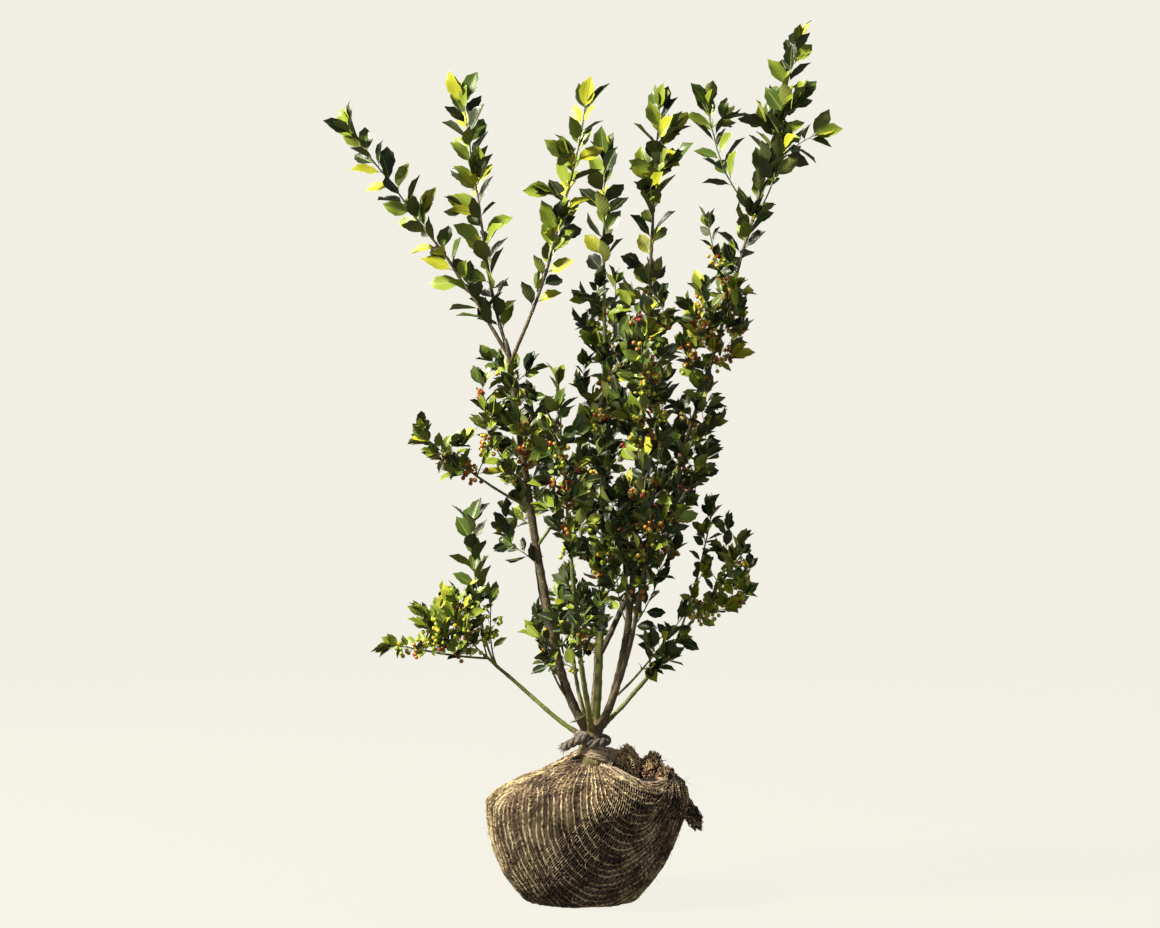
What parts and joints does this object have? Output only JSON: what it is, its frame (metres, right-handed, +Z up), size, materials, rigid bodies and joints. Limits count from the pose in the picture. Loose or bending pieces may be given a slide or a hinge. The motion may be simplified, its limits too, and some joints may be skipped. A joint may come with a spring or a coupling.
{
  "type": "young holly shrub with wrapped root ball",
  "caption": "Young evergreen shrub with several slender stems, glossy leaves and berries, standing on a root ball wrapped in jute net.",
  "frame": {"origin": "middle of the flat underside of the root ball", "axes": "+Z up along the plant, +X to the right of the front view, +Y away from the viewer"},
  "size_m": [0.8523, 0.5198, 1.5318],
  "materials": {
    "soil": "moist dark potting soil, crumbly and matt",
    "jute": "open-woven natural jute net, twisted hairy yarn, matt",
    "bark": "thin brown-grey young bark with pale breathing pores",
    "green_bark": "smooth olive green bark of young stems",
    "foliage": "glossy leathery leaves, dark above and yellow-green beneath",
    "berries": "waxy round berries ripening from lime green through yellow and orange to red"
  },
  "bodies": {
    "root": {"root_crown": "bark", "left_stem": "bark", "right_centre_stem": "bark", "centre_stem": "green_bark", "low_left_stem": "green_bark", "low_right_stem": "green_bark", "front_stem": "green_bark", "front_right_stem": "bark", "rear_stem": "bark", "rear_left_stem": "bark", "low_rear_bough": "green_bark", "right_stem": "bark", "left_tip_bough": "bark", "left_upright_bough": "bark", "left_inner_bough": "bark", "mid_left_branch": "green_bark", "left_cross_branch": "green_bark", "low_left_twig": "green_bark", "low_left_sprig": "green_bark", "low_right_twig": "green_bark", "low_inner_twig": "green_bark", "low_outer_twig": "green_bark", "foliage_left_tip": "foliage", "foliage_left_upright": "foliage", "foliage_left_inner": "foliage", "foliage_left_column": "foliage", "foliage_left_low": "foliage", "foliage_mid_left": "foliage", "foliage_low_left": "foliage", "foliage_low_left_tip": "foliage", "foliage_low_left_sprig": "foliage", "foliage_centre_column": "foliage", "foliage_centre_tip": "foliage", "foliage_right_centre_column": "foliage", "foliage_right_centre_tip": "foliage", "foliage_core": "foliage", "foliage_front_column": "foliage", "foliage_front_right": "foliage", "foliage_cross": "foliage", "foliage_rear_column": "foliage", "foliage_rear_top": "foliage", "foliage_rear_left": "foliage", "foliage_right_low": "foliage", "foliage_right_column": "foliage", "foliage_right_tip": "foliage", "foliage_right_top": "foliage", "foliage_low_right": "foliage", "foliage_low_right_sprig": "foliage", "foliage_low_inner": "foliage", "foliage_low_outer": "foliage", "foliage_low_front": "foliage", "foliage_low_rear": "foliage", "foliage_right_tip_left": "foliage", "foliage_right_tip_right": "foliage", "root_ball": "soil", "jute_knot_inner": "jute", "jute_knot_outer": "jute", "jute_knot_tail": "jute", "neck_tie": "jute"}
  },
  "joints": []
}
